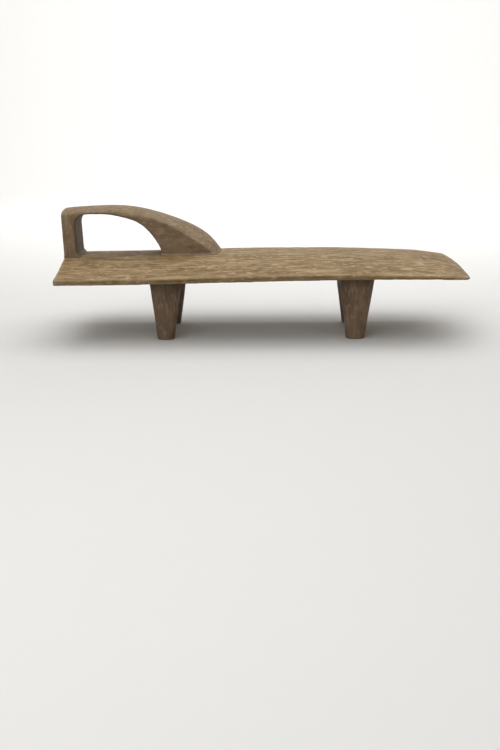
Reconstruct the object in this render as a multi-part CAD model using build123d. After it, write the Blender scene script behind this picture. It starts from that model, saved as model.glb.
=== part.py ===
from build123d import *
import os

# A carved wooden headrest: a long seat slab with a low crowned top on four tapered legs,
# and an arched rest that rises from the left end and sweeps down to the middle of the slab.
# Millimetres. +X runs along the slab, towards its plain end, and +Z is up.
# The origin is on the ground, under the middle of the object.

# ---- driving dimensions ----
LENGTH = 878.0
SLAB_WIDTH = 380.0
UNDERSIDE_HEIGHT = 138.3    # ground to the slab's underside at mid length
EDGE_THICKNESS = 14.0
NOSE_EDGE_THICKNESS = 8.0   # the edge thins to this at the plain end
CREST_RISE = 30.5           # height of the slab's crown above its edge
NOSE_CREST_RISE = 22.0      # the height that the crown tapers down to towards the nose
ARCH_WIDTH = 110.0

# the slab is a little higher towards the right, bowed up along its length, and drops at the end
UNDERSIDE_TILT = 7.3
UNDERSIDE_BOW = 2.7
UNDERSIDE_END_DROP = 3.9

HALF_LENGTH = LENGTH / 2
HALF_WIDTH = SLAB_WIDTH / 2
HALF_ARCH = ARCH_WIDTH / 2

TAPER_START = -20.0         # the crown starts to lose height here
THIN_START = 160.0          # the edge starts to thin here
NOSE_START = 310.0          # the crown starts to round down to the plain end here
NOSE_POWER = 2.7
# the slab's left end, hollowed a little between its corners before they are rounded, as (x, y)
LEFT_END = [(-440, 190), (-435, 145), (-434.5, 100), (-436.5, 0), (-434.5, -100), (-435, -145),
            (-440, -190)]
END_SWEEP = 18.0            # the plain end's far half is cut back by this much at the far corner
CORNER_LEFT = 6.0
CORNER_NEAR_RIGHT = 18.0
CORNER_FAR_RIGHT = 45.0
END_BLEND = 400.0           # radius that joins the plain end's two halves
TOP_STEP = 19.0             # spacing of the points that the crowned top passes through
UNDERSIDE_STEP = 80.0       # the same for the underside's long gentle bow
MARGIN = 12.0               # cutting surfaces run this far past what they cut, to trim it cleanly

# crest and side-arris heights along the arch's top, as (x, crest, arris)
ARCH_STATIONS = [
    (-450, 276.4, 269.8),
    (-425, 279.4, 272.6),
    (-400, 281.3, 274.3),
    (-352, 283.6, 275.5),
    (-310, 283.4, 273.5),
    (-270, 278.7, 267.5),
    (-232, 269.8, 258.5),
    (-202, 260.2, 245.0),
    (-170, 248.0, 226.0),
    (-140, 233.0, 207.5),
    (-117, 216.5, 192.0),
    (-102, 200.0, 177.0),
    (-89, 181.0, 160.0),
    (-78, 160.0, 142.0),
]
ARCH_END = -60.0            # well past the tip, where the arch's top has sunk into the slab
POST_FOOT_X = (-433.5, -401.5)  # the post's outer and inner faces, deep in the slab
POST_TOP_X = (-439.0, -407.0)   # the same at its top: it leans out over the slab's end
POST_TOP = 280.0            # height of the corner, rounded off, between the post and the bar
POST_CORNER = 8.0
BAR_UNDERSIDE = 267.4
LOOP_CORNER = 24.0
# the underside of the bar as it sweeps down to the arch's broad foot, as (x, z)
LOOP_SWEEP = [(-350, 267.4), (-303, 260), (-268, 247), (-243, 225), (-226, 200), (-215, 168)]
LOOP_START = (1, 0, 0)      # the sweep leaves the bar level
LOOP_LANDING = (0.25, 0, -1)    # and comes down on the slab in this direction
LOOP_FOOT_X = -210.0        # where the sweep would end, deep inside the slab
BURIED = 140.0              # the arch starts inside the slab, which then trims it to fit
SKY = 300.0                 # a height above the whole object
SLAB_ARRIS = 5.0            # radius that the slab's top edges are rounded to
ARCH_ARRIS = 3.0            # the same for the arch's side edges

# ---- legs ----
# each side's pair, as (foot centre x, foot width, top centre x, top width)
LEG_PAIRS = {"left": (-210.0, 38.0, -208.0, 75.0), "right": (203.5, 41.0, 206.5, 81.0)}
LEG_FOOT_Y = 92.0
LEG_TOP_Y = 95.0
LEG_ROUNDING = 0.36         # corner radius of a leg's section, as a share of its width
LEG_BLANK_HEIGHT = 145.0    # taller than the underside, so that the slab trims it to fit

# ---- joints ----
LEG_TENON_RADIUS = 15.0
LEG_TENON_LENGTH = 17.0
LEG_TENON_ROOT = 20.0       # how far down inside the leg the tenon's solid starts
POST_TENON = (18.0, 84.0)   # along X, along Y
FOOT_TENON = (78.0, 44.0)
FOOT_TENON_X = -158.0
ARCH_TENON_LENGTH = 20.0
ARCH_TENON_ROOT = 10.0      # how far up inside the arch the tenon's solid starts
MORTISE_GAP = 2.0           # room left at the bottom of each mortise


def clamp01(value):
    return min(1.0, max(0.0, value))


def underside(x):
    """Height of the slab's flat underside."""
    s = x / HALF_LENGTH
    return UNDERSIDE_HEIGHT + UNDERSIDE_TILT * s - UNDERSIDE_BOW * s**2 - UNDERSIDE_END_DROP * s**3


def edge_top(x):
    """Height of the top of the slab's thin edge."""
    thinning = clamp01((x - THIN_START) / (HALF_LENGTH - THIN_START))
    return underside(x) + EDGE_THICKNESS + (NOSE_EDGE_THICKNESS - EDGE_THICKNESS) * thinning


def slab_top(x, y):
    """Height of the crowned top: a parabola across, rounded down to the edge at the nose."""
    taper = clamp01((x - TAPER_START) / (HALF_LENGTH - TAPER_START))
    rise = CREST_RISE + (NOSE_CREST_RISE - CREST_RISE) * taper
    along = max(0.0, (x - NOSE_START) / (HALF_LENGTH - NOSE_START)) ** NOSE_POWER
    return edge_top(x) + rise * (1 - (y / HALF_WIDTH) ** 2) * (1 - along)


def spaced(low, high, step):
    """Evenly spaced values from a margin below low to a margin above high, about a step apart."""
    low -= MARGIN
    high += MARGIN
    spans = round((high - low) / step)
    return [low + (high - low) * i / spans for i in range(spans + 1)]


def crown_block():
    """Everything below the slab's crowned top."""
    xs = spaced(-HALF_LENGTH, HALF_LENGTH, TOP_STEP)
    ys = spaced(-HALF_WIDTH, HALF_WIDTH, TOP_STEP)
    top = Face.make_surface_from_array_of_points([[(x, y, slab_top(x, y)) for x in xs] for y in ys],
                                                 tol=0.1, min_deg=3)
    return extrude(top, amount=SKY, dir=(0, 0, -1))


def underside_block():
    """Everything above the slab's gently bowed underside."""
    line = [(x, 0, underside(x)) for x in spaced(-HALF_LENGTH, HALF_LENGTH, UNDERSIDE_STEP)]
    high_right = (line[-1][0], 0, SKY)
    high_left = (line[0][0], 0, SKY)
    side = make_face([Spline(*line), Line(line[-1], high_right), Line(high_right, high_left),
                      Line(high_left, line[0])])
    return extrude(side, amount=SLAB_WIDTH, dir=(0, 1, 0), both=True)


def plan_outline():
    """The slab's outline from above, its corners rounded."""
    near_right = (HALF_LENGTH, -HALF_WIDTH)
    end_middle = (HALF_LENGTH, 0)
    far_right = (HALF_LENGTH - END_SWEEP, HALF_WIDTH)
    plan = make_face([Spline(*LEFT_END), Line(LEFT_END[-1], near_right), Line(near_right, end_middle),
                      Line(end_middle, far_right), Line(far_right, LEFT_END[0])])
    for point, radius in ((LEFT_END[0], CORNER_LEFT), (LEFT_END[-1], CORNER_LEFT),
                          (near_right, CORNER_NEAR_RIGHT), (far_right, CORNER_FAR_RIGHT),
                          (end_middle, END_BLEND)):
        corner = plan.vertices().sort_by_distance(point)[0]
        plan = fillet(corner, radius)
    return plan


def slab_blank():
    """The slab before its mortises are cut, its top arris worn round."""
    column = extrude(plan_outline(), amount=SKY, dir=(0, 0, 1))
    body = column & underside_block() & crown_block()
    top = body.faces().sort_by(Axis.Z)[-1]
    return fillet(top.edges(), SLAB_ARRIS)


def arch_section(x, crest, arris):
    """Cross-section of the arch's outer form: upright sides and a crowned top."""
    near_low = (x, -HALF_ARCH, BURIED)
    near_high = (x, -HALF_ARCH, arris)
    far_high = (x, HALF_ARCH, arris)
    far_low = (x, HALF_ARCH, BURIED)
    return make_face([Line(far_low, near_low), Line(near_low, near_high),
                      ThreePointArc(near_high, (x, 0, crest), far_high), Line(far_high, far_low)])


def quarter_round(start, corner, end):
    """The arc that rounds off a square corner, between two points equally far from it."""
    inset = 1 - 2**-0.5
    middle = [c + inset * (a - c + b - c) for a, c, b in zip(start, corner, end)]
    return ThreePointArc(start, tuple(middle), end)


def post_outline():
    """Keeps what is right of the post's leaning outer face and its rounded top corner."""
    outer = POST_TOP_X[0]
    heel = (POST_FOOT_X[0], 0, BURIED)
    shoulder = (outer, 0, POST_TOP - POST_CORNER)
    corner = (outer, 0, POST_TOP)
    bar_start = (outer + POST_CORNER, 0, POST_TOP)
    sky_left = (POST_TOP_X[1], 0, SKY)
    sky_right = (ARCH_END, 0, SKY)
    toe = (ARCH_END, 0, BURIED)
    return make_face([Line(heel, shoulder), quarter_round(shoulder, corner, bar_start),
                      Line(bar_start, sky_left), Line(sky_left, sky_right),
                      Line(sky_right, toe), Line(toe, heel)])


def loop_outline():
    """The opening under the bar, between the post and the arch's broad foot."""
    inner = POST_TOP_X[1]
    low_left = (POST_FOOT_X[1], 0, BURIED)
    post_end = (inner, 0, BAR_UNDERSIDE - LOOP_CORNER)
    corner = (inner, 0, BAR_UNDERSIDE)
    bar_start = (inner + LOOP_CORNER, 0, BAR_UNDERSIDE)
    sweep = [(x, 0, z) for x, z in LOOP_SWEEP]
    low_right = (LOOP_FOOT_X, 0, BURIED)
    return make_face([Line(low_left, post_end), quarter_round(post_end, corner, bar_start),
                      Line(bar_start, sweep[0]), Spline(*sweep, tangents=[LOOP_START, LOOP_LANDING]),
                      Line(sweep[-1], low_right), Line(low_right, low_left)])


def across(face):
    """Extrudes a side face right across the arch."""
    return extrude(face, amount=HALF_ARCH + MARGIN, dir=(0, 1, 0), both=True)


def arch_blank():
    """The arch before the slab trims its feet: outer form, trimmed at the post, loop cut."""
    form = loft([arch_section(*station) for station in ARCH_STATIONS])
    body = (form & across(post_outline())) - across(loop_outline())
    centres = [(edge, edge.center()) for edge in body.edges()]
    sides = [edge for edge, centre in centres
             if abs(abs(centre.Y) - HALF_ARCH) < ARCH_ARRIS and centre.Z > BURIED + ARCH_ARRIS]
    return fillet(sides, ARCH_ARRIS)


def arch_tenon(x, plan, extra):
    """A rectangular tenon under the arch, centred at x; extra lengthens it for its mortise."""
    top = slab_top(x, 0) + ARCH_TENON_ROOT
    height = ARCH_TENON_ROOT + ARCH_TENON_LENGTH + extra
    return Pos(x, 0, top - height / 2) * Box(plan[0], plan[1], height)


def arch_tenons(extra):
    post_x = sum(POST_FOOT_X) / 2
    return arch_tenon(post_x, POST_TENON, extra) + arch_tenon(FOOT_TENON_X, FOOT_TENON, extra)


def leg_section(x, y, z, width):
    """The rounded square that a leg is at one height."""
    return Pos(x, y, z) * RectangleRounded(width, width, LEG_ROUNDING * width)


def leg_blank(pair, row):
    """A tapered leg of rounded-square section; row is -1 for the front and 1 for the rear."""
    foot_x, foot_width, top_x, top_width = pair
    return loft([leg_section(foot_x, row * LEG_FOOT_Y, 0, foot_width),
                 leg_section(top_x, row * LEG_TOP_Y, LEG_BLANK_HEIGHT, top_width)])


def leg_tenon(top_x, row, extra):
    """The round tenon on a leg's top; extra lengthens it for its mortise."""
    start = UNDERSIDE_HEIGHT - LEG_TENON_ROOT
    height = underside(top_x) + LEG_TENON_LENGTH + extra - start
    return Pos(top_x, row * LEG_TOP_Y, start + height / 2) * Cylinder(LEG_TENON_RADIUS, height)


def build():
    """Every piece of the headrest, by name."""
    blank = slab_blank()
    slab = blank - arch_tenons(MORTISE_GAP)
    nodes = {"headrest_arch": (arch_blank() - blank) + arch_tenons(0)}
    for side, pair in LEG_PAIRS.items():
        top_x = pair[2]
        for place, row in (("front", -1), ("rear", 1)):
            slab = slab - leg_tenon(top_x, row, MORTISE_GAP)
            leg = (leg_blank(pair, row) - blank) + leg_tenon(top_x, row, 0)
            nodes[f"leg_{place}_{side}"] = leg
    nodes["seat_slab"] = slab
    return nodes


os.makedirs("parts", exist_ok=True)
for node, solid in build().items():
    export_step(solid, f"parts/{node}.step")
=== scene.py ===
from math import cos, pi, radians, sin

import bmesh
import bpy
import numpy as np
from mathutils import Matrix, Vector, kdtree, noise
from mathutils.bvhtree import BVHTree


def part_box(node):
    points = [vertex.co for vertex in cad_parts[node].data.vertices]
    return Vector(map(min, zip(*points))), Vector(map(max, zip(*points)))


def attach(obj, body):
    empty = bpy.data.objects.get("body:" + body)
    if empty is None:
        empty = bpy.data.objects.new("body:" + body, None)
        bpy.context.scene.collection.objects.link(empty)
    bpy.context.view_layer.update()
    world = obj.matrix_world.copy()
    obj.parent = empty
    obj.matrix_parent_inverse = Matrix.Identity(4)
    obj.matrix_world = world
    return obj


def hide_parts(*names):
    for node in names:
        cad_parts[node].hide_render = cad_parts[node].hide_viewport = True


# The headrest's looks: each CAD piece is remeshed finely, its arrises are worn round, and shallow
# adze hollows and a slow hand-made wobble are carved into it. The arch's two feet are spread out
# over the slab first. Metres throughout.

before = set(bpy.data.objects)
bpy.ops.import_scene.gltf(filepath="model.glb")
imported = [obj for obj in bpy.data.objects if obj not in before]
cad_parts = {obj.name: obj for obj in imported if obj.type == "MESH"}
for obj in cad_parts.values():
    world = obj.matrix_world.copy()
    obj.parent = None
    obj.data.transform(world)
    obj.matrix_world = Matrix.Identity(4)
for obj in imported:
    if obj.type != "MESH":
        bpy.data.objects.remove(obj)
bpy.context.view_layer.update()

MM = 0.001
SLAB = "seat_slab"
ARCH = "headrest_arch"
LEGS = ["leg_front_left", "leg_front_right", "leg_rear_left", "leg_rear_right"]

# ---- how the pieces are carved ----
# A pair of numbers says where something starts and where it is full, unless a note says otherwise.

SLAB_VOXEL = 2.0 * MM
ARCH_VOXEL = 1.3 * MM
LEG_VOXEL = 1.4 * MM
SLAB_SEED = 11
ARCH_SEED = 23
LEG_SEED = 31               # of the first leg, and the others count on from it
WELD = 0.01 * MM            # CAD vertices this close are joined before remeshing
SMOOTHING = 0.5             # weight of the rounds of relaxing that even out the voxels' steps
CONTACT = (0.5 * MM, 7 * MM)            # carving, by the distance to the neighbouring piece
CONTACT_SHADE_REACH = 30 * MM           # painted shade darkens this close to where two pieces meet
STRAY = 6 * MM              # the rows of adze hollows stray by this much
STRAY_SIZE = 60 * MM        # over this distance
HOLLOW_DEPTHS = (0.2, 1.0)  # the shallowest and the deepest hollow, as parts of the full depth
ARRIS_BEND = (0.02 * MM, 0.16 * MM)     # worn colour and sunk grime, by how bent the surface is
BEND_ROUNDS = 2             # how often that bend is averaged over its neighbours
UPWARD = (-0.1, 0.75)       # a face that counts as a top, by how far its normal points up
UNDERSIDE = -0.5            # a face below this counts as the underside, by the same
FOOT_SETTLE = 20 * MM       # a leg is stretched down to the floor over this height

# The wear and the grain of the arch. Here x is measured from the post's outer face, and y from
# the middle.
WEAR_ROUNDS = 90
WEAR_WEIGHT = 0.6
WEAR_SIDE = (42 * MM, 53 * MM)          # only the sides are worn, by their y
WEAR_CONTACT = (0.0, 8 * MM)            # and not near the slab, by the distance to it
WEAR_FLOOR = 22 * MM        # nor below this height over the tenons' ends
OUTER_WEAR = 0.2            # the post's outer face keeps its arrises: they are worn this much
OUTER_WEAR_END = (2 * MM, 16 * MM)      # and wear is back to full here, by their x
CRISP_SWEEP = (130 * MM, 230 * MM)      # the sweep's arrises turn crisp, by their x
CRISPNESS = 0.97
GRAIN_TURN = (30 * MM, 55 * MM)         # the grain turns from upright to level, by its x

# The arch's feet, spread out in hollow fillets. A pair of radii is for a foot's sides and for its
# face in the loop, and turning is measured by how far a face looks into the loop.
POST_REACH = 100 * MM       # the post and its fillet lie within this x of the post's outer face
POST_FLARE = (2.0 * MM, 9 * MM)
FOOT_FLARE = (5.0 * MM, 11 * MM)
FLARE_TO_LOOP = (0.3, 0.95)             # the radius in the loop takes over
FLARE_AT_ALL = (-0.6, -0.05)            # faces that look away from the loop have no fillet
FLARE_LEVEL = (0.1, 0.5)    # only steep faces are spread, by how level their normal is
FLARE_SINK = 1.5 * MM       # a fillet's rim lies this far inside the slab
CROWN_REACH = 95 * MM       # the slab's top near the arch lies this far from the middle
CROWN_FLOOR = 155 * MM      # above this height
CROWN_SLOPE = 0.5           # and its normals point up by more than this
SKY = 1.0                   # a height above the whole object
TINY = 1e-6                 # keeps divisions away from zero

# Painted shade on the arch: on faces that look into the loop, and on steep faces beside the slab.
LOOP_MIDDLE = (-330 * MM, 215 * MM)     # x and z of the middle of the loop, in the frame
LOOP_FACING = (0.35, 0.85)  # faces that look at that middle
LOOP_SHADE = 0.5
STEEP_FACE = (0.0, 0.4)     # where painted shade by the slab is gone, by how far a normal points up
BASE_SHADE_NEARNESS = (0.4, 1.0)   # how near the slab that painted shade is
BASE_SHADE = 0.4


# ---- mesh tools ----

def smoothstep(values, low, high):
    """0 below low, 1 above high, and a smooth rise between."""
    t = np.clip((values - low) / (high - low), 0.0, 1.0)
    return t * t * (3 - 2 * t)


def remesh(piece, voxel):
    """Rebuilds a piece's skin in small even faces."""
    modifier = piece.modifiers.new("fine", "REMESH")
    modifier.mode = "VOXEL"
    modifier.voxel_size = voxel
    graph = bpy.context.evaluated_depsgraph_get()
    piece.data = bpy.data.meshes.new_from_object(piece.evaluated_get(graph))
    piece.modifiers.clear()


def fine_copy(node, voxel):
    """A copy of a CAD piece in small even faces."""
    welded = bmesh.new()
    welded.from_mesh(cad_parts[node].data)
    bmesh.ops.remove_doubles(welded, verts=welded.verts, dist=WELD)
    mesh = bpy.data.meshes.new(f"carved_{node}")
    welded.to_mesh(mesh)
    welded.free()
    piece = bpy.data.objects.new(f"carved_{node}", mesh)
    bpy.context.scene.collection.objects.link(piece)
    remesh(piece, voxel)
    return piece


def positions(mesh):
    """The vertices' coordinates, one row each."""
    co = np.empty(len(mesh.vertices) * 3)
    mesh.vertices.foreach_get("co", co)
    return co.reshape(-1, 3)


def set_positions(mesh, co):
    mesh.vertices.foreach_set("co", co.ravel())
    mesh.update()


def normals(mesh):
    """The vertices' normals, one row each."""
    values = np.empty(len(mesh.vertices) * 3, np.float32)
    mesh.vertex_normals.foreach_get("vector", values)
    return values.reshape(-1, 3).astype(float)


def edge_pairs(mesh):
    """The two vertices of each edge."""
    pairs = np.empty(len(mesh.edges) * 2, np.int32)
    mesh.edges.foreach_get("vertices", pairs)
    return pairs.reshape(-1, 2)


def neighbour_mean(values, pairs):
    """Each vertex's average over its neighbours, for an array of one or more columns."""
    count = len(values)
    degree = np.bincount(pairs.ravel(), minlength=count)
    first, second = pairs[:, 0], pairs[:, 1]
    columns = []
    for column in values.reshape(count, -1).T:
        total = np.bincount(first, column[second], count) + np.bincount(second, column[first], count)
        columns.append(total / degree)
    return np.stack(columns, axis=1).reshape(values.shape)


def relax(co, pairs, rounds, weight):
    """Wears arrises round, by moving each vertex towards the average of its neighbours.

    weight is how much of the way it moves, for all the vertices or for each one.
    """
    for _ in range(rounds):
        co = co + weight * (neighbour_mean(co, pairs) - co)
    return co


def surface_tree(*nodes, keep=None):
    """A tree over the CAD surfaces of some nodes, or over those faces that keep accepts."""
    points = []
    faces = []
    for node in nodes:
        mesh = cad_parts[node].data
        start = len(points)
        points += [v.co.copy() for v in mesh.vertices]
        faces += [[start + i for i in p.vertices] for p in mesh.polygons if keep is None or keep(p)]
    return BVHTree.FromPolygons(points, faces)


def distances(co, tree, reach):
    """Distance from each point to the tree's surface, or reach where it is further."""
    found = []
    for point in co:
        hit = tree.find_nearest(Vector(point), reach)
        found.append(reach if hit[3] is None else hit[3])
    return np.array(found)


def ground(co, tree):
    """Height of the tree's surface straight below or above each point, or nan where there is none."""
    down = Vector((0, 0, -1))
    heights = np.full(len(co), np.nan)
    for index, (x, y, _) in enumerate(co):
        hit = tree.ray_cast(Vector((x, y, SKY)), down)
        if hit[0] is not None:
            heights[index] = hit[0].z
    return heights


def flare(co, normal, tree, radius):
    """Points spread outwards, in a hollow fillet of the given radii, where they stand on the tree.

    Each point keeps its height over the surface, except that the lowest sink a little into it.
    """
    level = normal * np.array((1.0, 1.0, 0.0))
    length = np.linalg.norm(level, axis=1)
    level = level / np.maximum(length, TINY)[:, None]
    before = ground(co, tree)
    height = co[:, 2] - before
    rise = np.clip(height / np.maximum(radius, TINY), 0.0, 1.0)
    push = radius * (1 - np.sqrt(1 - (1 - rise) ** 2)) * smoothstep(length, *FLARE_LEVEL)
    moved = co + level * push[:, None]
    after = ground(moved, tree)
    usable = np.isfinite(before) & np.isfinite(after) & (height > -FLARE_SINK)
    moved[:, 2] += np.where(usable, after - before, 0.0)
    moved[:, 2] -= FLARE_SINK * (1 - smoothstep(height, 0.0, 2 * FLARE_SINK))
    return np.where(usable[:, None], moved, co)


def wobble(co, size, seed):
    """Slow smooth noise from -1 to 1, its waves about size long on each axis."""
    scaled = co / np.array(size) + seed
    return np.array([noise.noise(Vector(point)) for point in scaled])


def hollows(co, size, seed):
    """Adze hollows, each with its own depth: how deep each point is, and its hollow's tone.

    Depth is 0 on a ridge and up to 1 in the middle of a hollow. Tone is from 0 to 1.
    """
    rng = np.random.default_rng(seed)
    strays = [wobble(co, (STRAY_SIZE, STRAY_SIZE, STRAY_SIZE), seed + axis) for axis in range(3)]
    bent = co + STRAY * np.stack(strays, axis=1)
    scaled = bent / np.array(size)
    low = np.floor(scaled.min(axis=0)).astype(int) - 1
    high = np.ceil(scaled.max(axis=0)).astype(int) + 1
    cells = [np.arange(a, b) for a, b in zip(low, high)]
    grid = np.stack(np.meshgrid(*cells, indexing="ij"), axis=-1)
    centres = grid.reshape(-1, 3) + rng.random((grid.size // 3, 3))
    strength = rng.uniform(*HOLLOW_DEPTHS, len(centres))
    tone = rng.random(len(centres))
    tree = kdtree.KDTree(len(centres))
    for index, centre in enumerate(centres):
        tree.insert(centre, index)
    tree.balance()
    nearest = [tree.find(point) for point in scaled]
    index = np.array([n[1] for n in nearest])
    distance = np.array([n[2] for n in nearest])
    return strength[index] * np.clip(1 - distance**2, 0.0, 1.0), tone[index]


def store(mesh, name, values):
    """Stores one value for each vertex, for the material to read."""
    attribute = mesh.attributes.new(name, "FLOAT", "POINT")
    attribute.data.foreach_set("value", values.astype(np.float32))


def store_grain(mesh, upright):
    """Coordinates whose first axis runs along the grain: x and z trade places where it is upright."""
    co = positions(mesh)
    turned = co + (co[:, ::-1] - co) * np.reshape(upright, (-1, 1))
    mesh.attributes.new("grain", "FLOAT_VECTOR", "POINT").data.foreach_set("vector", turned.ravel())


def bend_of(mesh, pairs):
    """How bent the surface is at each point: above 0 in a hollow corner, below 0 on an arris."""
    co = positions(mesh)
    bend = np.einsum("ij,ij->i", neighbour_mean(co, pairs) - co, normals(mesh))
    for _ in range(BEND_ROUNDS):
        bend = neighbour_mean(bend, pairs)
    return bend


def finish_piece(piece, node, slot, marks, painted_shade, upright):
    """Stores what the material reads, smooths the shading and ties the piece to the frame."""
    mesh = piece.data
    pairs = edge_pairs(mesh)
    bend = bend_of(mesh, pairs)
    store(mesh, "worn", smoothstep(-bend, *ARRIS_BEND))
    store(mesh, "sunk", smoothstep(bend, *ARRIS_BEND))
    depth, tone = marks
    store(mesh, "mark", depth)
    store(mesh, "facet", neighbour_mean(tone, pairs))
    store(mesh, "painted_shade", painted_shade)
    store_grain(mesh, upright)
    store(mesh, "upward", smoothstep(normals(mesh)[:, 2], *UPWARD))
    mesh.polygons.foreach_set("use_smooth", np.ones(len(mesh.polygons), bool))
    mesh.materials.clear()
    mesh.materials.append(MATERIALS[slot])
    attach(piece, "root")
    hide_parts(node)


def carve(piece, neighbours, depth, hollow_size, wobble_depth, wobble_size, seed, keep_sides=0.0):
    """Cuts adze hollows and a slow wobble into a piece, inwards only.

    keep_sides is how far its upright faces are spared, from 0 to 1. Returns the hollows' depths
    and tones, and a painted shade at each point by how near it is to the neighbours, from 0 to 1.
    """
    mesh = piece.data
    co = positions(mesh)
    gap = distances(co, neighbours, CONTACT_SHADE_REACH)
    normal = normals(mesh)
    free = smoothstep(gap, *CONTACT) * (1 - keep_sides * (1 - np.abs(normal[:, 2])))
    depths, tones = hollows(co, hollow_size, seed)
    slow = 0.5 + 0.5 * wobble(co, wobble_size, seed)
    inward = free * (depth * depths + wobble_depth * slow)
    set_positions(mesh, co - normal * inward[:, None])
    return (depths * free, tones), 1 - gap / CONTACT_SHADE_REACH


# ---- pieces ----

def slab_piece():
    """The slab: carved above and below but little on its edges, with painted shade beside the legs.
    """
    piece = fine_copy(SLAB, SLAB_VOXEL)
    mesh = piece.data
    set_positions(mesh, relax(positions(mesh), edge_pairs(mesh), rounds=2, weight=SMOOTHING))
    marks, painted_shade = carve(piece, surface_tree(ARCH, *LEGS), seed=SLAB_SEED, keep_sides=0.8,
                           depth=0.8 * MM, hollow_size=(15 * MM, 12 * MM, 30 * MM),
                           wobble_depth=0.7 * MM, wobble_size=(140 * MM, 70 * MM, 70 * MM))
    # the slab gets its painted shade only on its underside, near the legs
    under = normals(mesh)[:, 2] < UNDERSIDE
    finish_piece(piece, SLAB, "slab_wood", marks, painted_shade * under, upright=0.0)


def on_slab_top(face):
    """Whether a face of the slab is part of its crowned top near the arch, not of a mortise."""
    on_crown = abs(face.center.y) < CROWN_REACH and face.center.z > CROWN_FLOOR
    return on_crown and face.normal.z > CROWN_SLOPE


def wear_arrises(mesh, low):
    """The arch's points with its arrises worn, well on the post and bar, hardly down the sweep."""
    co = positions(mesh)
    away = distances(co, surface_tree(SLAB), reach=WEAR_CONTACT[1])
    above = co[:, 2] > low.z + WEAR_FLOOR
    loose = smoothstep(away, *WEAR_CONTACT) * above * smoothstep(np.abs(co[:, 1]), *WEAR_SIDE)
    along = co[:, 0] - low.x
    loose *= OUTER_WEAR + (1 - OUTER_WEAR) * smoothstep(along, *OUTER_WEAR_END)
    crisp = smoothstep(along, *CRISP_SWEEP)
    pairs = edge_pairs(mesh)
    co = relax(co, pairs, WEAR_ROUNDS, (WEAR_WEIGHT * loose * (1 - CRISPNESS * crisp))[:, None])
    return relax(co, pairs, rounds=1, weight=SMOOTHING)


def flare_feet(co, normal, low):
    """The arch's points with its two feet spread out over the slab, most of all inside the loop."""
    on_post = co[:, 0] < low.x + POST_REACH
    toward_loop = np.where(on_post, normal[:, 0], -normal[:, 0])
    side = np.where(on_post, POST_FLARE[0], FOOT_FLARE[0])
    inner = np.where(on_post, POST_FLARE[1], FOOT_FLARE[1])
    radius = side + (inner - side) * smoothstep(toward_loop, *FLARE_TO_LOOP)
    radius *= smoothstep(toward_loop, *FLARE_AT_ALL)
    return flare(co, normal, surface_tree(SLAB, keep=on_slab_top), radius)


def arch_painted_shade(mesh, painted_shade):
    """Painted shade on the faces that look into the loop, and on the sides beside the slab."""
    normal = normals(mesh)
    to_loop = np.array(LOOP_MIDDLE) - positions(mesh)[:, (0, 2)]
    facing = np.einsum("ij,ij->i", normal[:, (0, 2)], to_loop) / np.linalg.norm(to_loop, axis=1)
    inside = LOOP_SHADE * smoothstep(facing, *LOOP_FACING)
    steep = 1 - smoothstep(normal[:, 2], *STEEP_FACE)
    return np.maximum(inside, BASE_SHADE * steep * smoothstep(painted_shade, *BASE_SHADE_NEARNESS))


def arch_piece():
    """The arch: worn and flared, remeshed again to even out its faces, and then carved."""
    piece = fine_copy(ARCH, ARCH_VOXEL)
    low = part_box(ARCH)[0]
    co = wear_arrises(piece.data, low)
    set_positions(piece.data, co)
    set_positions(piece.data, flare_feet(co, normals(piece.data), low))
    remesh(piece, ARCH_VOXEL)
    mesh = piece.data
    set_positions(mesh, relax(positions(mesh), edge_pairs(mesh), rounds=1, weight=SMOOTHING))
    marks, painted_shade = carve(piece, surface_tree(SLAB), seed=ARCH_SEED,
                           depth=0.5 * MM, hollow_size=(14 * MM, 12 * MM, 12 * MM),
                           wobble_depth=0.7 * MM, wobble_size=(80 * MM, 60 * MM, 60 * MM))
    upright = 1 - smoothstep(positions(mesh)[:, 0] - low.x, *GRAIN_TURN)
    finish_piece(piece, ARCH, "arch_wood", marks, arch_painted_shade(mesh, painted_shade), upright)


def leg_piece(node, seed):
    """A leg, its foot brought back down to the floor after carving."""
    piece = fine_copy(node, LEG_VOXEL)
    mesh = piece.data
    set_positions(mesh, relax(positions(mesh), edge_pairs(mesh), rounds=4, weight=SMOOTHING))
    marks, painted_shade = carve(piece, surface_tree(SLAB), seed=seed,
                           depth=0.6 * MM, hollow_size=(11 * MM, 11 * MM, 30 * MM),
                           wobble_depth=1.0 * MM, wobble_size=(40 * MM, 40 * MM, 80 * MM))
    co = positions(mesh)
    co[:, 2] -= co[:, 2].min() * (1 - smoothstep(co[:, 2], 0.0, FOOT_SETTLE))
    set_positions(mesh, co)
    finish_piece(piece, node, "leg_wood", marks, painted_shade, upright=1.0)


# ---- materials ----

SHADE_AND_GRIME_TONE = 0.3           # painted shade, and grime in hollow corners, are this much of a wood's dark colour
NOISE_ROUGHNESS = 0.6
STREAK_SHINE = 0.1          # how much smoother a wood is where its streak noise is 0
STREAK_RANGE = 0.25         # and how much rougher than that where it is 1
WORN_SHINE = 0.12           # how much smoother a worn arris is
SPECULAR = 0.18
FIBRE_RELIEF = 0.7          # the parts of fibres and of specks in the relief
SPECK_RELIEF = 0.3
RELIEF_STRENGTH = 0.5
RELIEF_DEPTH = 0.5 * MM


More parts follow.
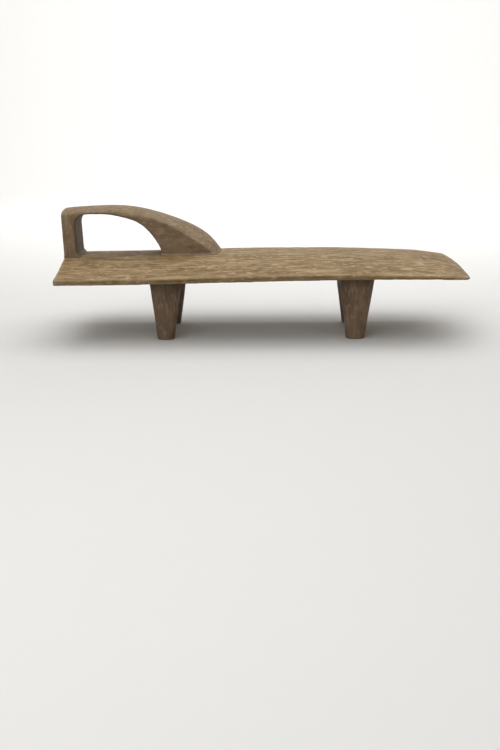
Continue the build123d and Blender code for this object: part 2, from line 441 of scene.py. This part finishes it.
def wood(name, dark, mid, light, roughness, length, side_painted_shade):
    """Old hand-carved wood: fibres along the grain, cloudy patina, marks and worn arrises.

    length is how far its fibres are drawn out, and side_painted_shade how much painted shade darkens
    its upright sides.
    """
    material = bpy.data.materials.new(name)
    material.use_nodes = True
    nodes = material.node_tree.nodes
    links = material.node_tree.links
    shader = nodes["Principled BSDF"]

    def texture(detail, spread, offset=0.0):
        """Noise whose waves are spread long, in metres, along the grain and then across it."""
        mapping = nodes.new("ShaderNodeMapping")
        mapping.inputs["Scale"].default_value = [1 / s for s in spread]
        mapping.inputs["Location"].default_value = (offset, offset, offset)
        links.new(grain.outputs["Vector"], mapping.inputs["Vector"])
        tex = nodes.new("ShaderNodeTexNoise")
        tex.inputs["Scale"].default_value = 1.0
        tex.inputs["Detail"].default_value = detail
        tex.inputs["Roughness"].default_value = NOISE_ROUGHNESS
        links.new(mapping.outputs["Vector"], tex.inputs["Vector"])
        return tex.outputs["Fac"]

    def attribute(attribute_name):
        node = nodes.new("ShaderNodeAttribute")
        node.attribute_name = attribute_name
        return node.outputs["Fac"]

    def spread_out(value, low, high):
        """Maps low..high to 0..1, smoothly."""
        node = nodes.new("ShaderNodeMapRange")
        node.interpolation_type = "SMOOTHSTEP"
        node.inputs["From Min"].default_value = low
        node.inputs["From Max"].default_value = high
        links.new(value, node.inputs["Value"])
        return node.outputs["Result"]

    def feed(socket, value):
        """Sets a socket to a number or a colour, or links another node's output to it."""
        if isinstance(value, tuple):
            socket.default_value = (*value, 1.0)
        elif isinstance(value, (int, float)):
            socket.default_value = value
        else:
            links.new(value, socket)

    def math(operation, a, b):
        node = nodes.new("ShaderNodeMath")
        node.operation = operation
        for socket, value in zip(node.inputs, (a, b)):
            feed(socket, value)
        return node.outputs["Value"]

    def mix(factor, a, b):
        node = nodes.new("ShaderNodeMix")
        node.data_type = "RGBA"
        for socket_name, value in (("Factor", factor), ("A", a), ("B", b)):
            feed(node.inputs[socket_name], value)
        return node.outputs["Result"]

    def tint(base, colour, amount, where):
        """Mixes a colour over base, by amount where the value given as where is 1."""
        return mix(math("MULTIPLY", where, amount), base, colour)

    # one dark colour for painted shade and for grime in hollow corners
    shade_and_grime = tuple(SHADE_AND_GRIME_TONE * c for c in dark)
    grain = nodes.new("ShaderNodeAttribute")
    grain.attribute_name = "grain"
    fibre = texture(detail=4.0, spread=(length * 0.08, 0.0045, 0.0035))
    streak = texture(detail=3.0, spread=(length * 0.07, 0.012, 0.006), offset=3.0)
    dash = texture(detail=1.0, spread=(length * 0.017, 0.009, 0.006), offset=9.0)
    cloud = texture(detail=2.0, spread=(length * 0.08, 0.03, 0.03), offset=7.0)
    speck = texture(detail=2.0, spread=(0.004, 0.003, 0.003), offset=5.0)

    # side marks the upright faces, which get a painted shade
    side = math("SUBTRACT", 1.0, attribute("upward"))
    tone = mix(spread_out(cloud, low=0.3, high=0.65), dark, mid)
    tone = tint(tone, light, amount=0.5, where=spread_out(streak, low=0.45, high=0.7))
    tone = tint(tone, light, amount=0.25, where=spread_out(attribute("facet"), low=0.3, high=1.0))
    tone = tint(tone, light, amount=0.62, where=spread_out(dash, low=0.55, high=0.68))
    tone = tint(tone, dark, amount=0.7, where=spread_out(fibre, low=0.48, high=0.66))
    tone = tint(tone, dark, amount=0.3, where=attribute("mark"))
    tone = tint(tone, light, amount=0.4, where=attribute("worn"))
    # painted shade on the upright sides
    tone = tint(tone, shade_and_grime, amount=side_painted_shade, where=side)
    tone = tint(tone, shade_and_grime, amount=0.6, where=attribute("sunk"))
    # painted shade where the piece lies close to another
    tone = tint(tone, shade_and_grime, amount=0.8, where=attribute("painted_shade"))
    links.new(tone, shader.inputs["Base Color"])

    rough = math("ADD", roughness - STREAK_SHINE, math("MULTIPLY", streak, STREAK_RANGE))
    rough = math("SUBTRACT", rough, math("MULTIPLY", attribute("worn"), WORN_SHINE))
    links.new(rough, shader.inputs["Roughness"])
    shader.inputs["Specular IOR Level"].default_value = SPECULAR

    fibre_relief = math("MULTIPLY", fibre, FIBRE_RELIEF)
    relief = math("ADD", fibre_relief, math("MULTIPLY", speck, SPECK_RELIEF))
    bump = nodes.new("ShaderNodeBump")
    bump.inputs["Strength"].default_value = RELIEF_STRENGTH
    bump.inputs["Distance"].default_value = RELIEF_DEPTH
    links.new(relief, bump.inputs["Height"])
    links.new(bump.outputs["Normal"], shader.inputs["Normal"])
    return material


MATERIALS = {
    "slab_wood": wood("slab_wood", dark=(0.18, 0.108, 0.043), mid=(0.275, 0.181, 0.081),
                      light=(0.56, 0.425, 0.255), roughness=0.62, length=1.0, side_painted_shade=0.52),
    "arch_wood": wood("arch_wood", dark=(0.18, 0.118, 0.066), mid=(0.265, 0.184, 0.108),
                      light=(0.38, 0.288, 0.182), roughness=0.6, length=0.6, side_painted_shade=0.3),
    # the legs' colours are set darker than the slab's as painted shade, for the shade their upright
    # faces stand in under the slab
    "leg_wood": wood("leg_wood", dark=(0.14, 0.09, 0.055), mid=(0.225, 0.152, 0.096),
                     light=(0.32, 0.236, 0.158), roughness=0.65, length=1.2, side_painted_shade=0.12),
}


# ---- stage ----

FLOOR_RADIUS = 3.6
FLOOR_RINGS = 4
FLOOR_SIDES = 64
SWEEP_RADIUS = 1.8          # of the curve between floor and wall
SWEEP_STEPS = 14
WALL_TOP = 5.0
PAPER = (0.74, 0.735, 0.72, 1.0)
PAPER_ROUGHNESS = 0.9


def floor():
    """A pale round floor that sweeps up into a backdrop all the way round."""
    mesh = bpy.data.meshes.new("studio_floor")
    profile = [(FLOOR_RADIUS * i / FLOOR_RINGS, 0.0) for i in range(1, FLOOR_RINGS)]
    for i in range(SWEEP_STEPS + 1):
        angle = radians(90 * i / SWEEP_STEPS)
        profile.append((FLOOR_RADIUS + SWEEP_RADIUS * sin(angle), SWEEP_RADIUS * (1 - cos(angle))))
    profile.append((FLOOR_RADIUS + SWEEP_RADIUS, WALL_TOP))
    turns = [2 * pi * j / FLOOR_SIDES for j in range(FLOOR_SIDES)]
    points = [(r * cos(turn), r * sin(turn), z) for r, z in profile for turn in turns]
    faces = [list(range(FLOOR_SIDES))]
    for i in range(len(profile) - 1):
        inner, outer = i * FLOOR_SIDES, (i + 1) * FLOOR_SIDES
        for j in range(FLOOR_SIDES):
            k = (j + 1) % FLOOR_SIDES
            faces.append([inner + j, outer + j, outer + k, inner + k])
    mesh.from_pydata(points, [], faces)
    mesh.polygons.foreach_set("use_smooth", np.ones(len(mesh.polygons), bool))
    sheet = bpy.data.objects.new("studio_floor", mesh)
    bpy.context.scene.collection.objects.link(sheet)
    material = bpy.data.materials.new("studio_paper")
    material.use_nodes = True
    shader = material.node_tree.nodes["Principled BSDF"]
    shader.inputs["Base Color"].default_value = PAPER
    shader.inputs["Roughness"].default_value = PAPER_ROUGHNESS
    mesh.materials.append(material)


def soft_light(name, place, aim, size, energy):
    """A square studio light at place, pointed at aim."""
    light = bpy.data.lights.new(name, "AREA")
    light.size = size
    light.energy = energy
    lamp = bpy.data.objects.new(name, light)
    lamp.location = place
    lamp.rotation_euler = (Vector(aim) - Vector(place)).to_track_quat("-Z", "Y").to_euler()
    bpy.context.scene.collection.objects.link(lamp)


def lighting():
    """Soft light from above, a little from the front, and some on the walls before and behind."""
    world = bpy.data.worlds.new("studio")
    world.use_nodes = True
    sky = world.node_tree.nodes["Background"]
    sky.inputs["Color"].default_value = (1.0, 0.99, 0.97, 1.0)
    sky.inputs["Strength"].default_value = 0.13
    bpy.context.scene.world = world
    bpy.context.scene.view_settings.view_transform = "Standard"
    soft_light("overhead", place=(0.35, 0.3, 2.5), aim=(0, 0, 0.1), size=3.6, energy=60)
    soft_light("front_fill", place=(-0.9, -1.9, 1.9), aim=(0, 0, 0.12), size=2.0, energy=27)
    soft_light("backdrop_light", place=(0, 2.4, 3.2), aim=(0, 4.6, 1.2), size=2.4, energy=135)
    soft_light("rear_view_light", place=(0, -2.4, 3.2), aim=(0, -4.6, 1.2), size=2.4, energy=22)


def camera():
    """The camera: where it stands, in the frame, and how it is turned."""
    place = Vector((0.0339, -2.8275, 0.5561))
    yaw, pitch, roll = radians(1.28), radians(13.16), radians(-0.58)
    data = bpy.data.cameras.new("camera")
    data.lens = 61.06
    eye = bpy.data.objects.new("camera", data)
    ahead = Vector((-sin(yaw) * cos(pitch), cos(yaw) * cos(pitch), -sin(pitch)))
    turn = ahead.to_track_quat("-Z", "Y").to_matrix() @ Matrix.Rotation(roll, 3, "Z")
    eye.matrix_world = Matrix.Translation(place) @ turn.to_4x4()
    bpy.context.scene.collection.objects.link(eye)
    bpy.context.scene.camera = eye


# ---- the scene ----

slab_piece()
arch_piece()
for leg_index, leg in enumerate(LEGS):
    leg_piece(leg, LEG_SEED + leg_index)
floor()
lighting()
camera()
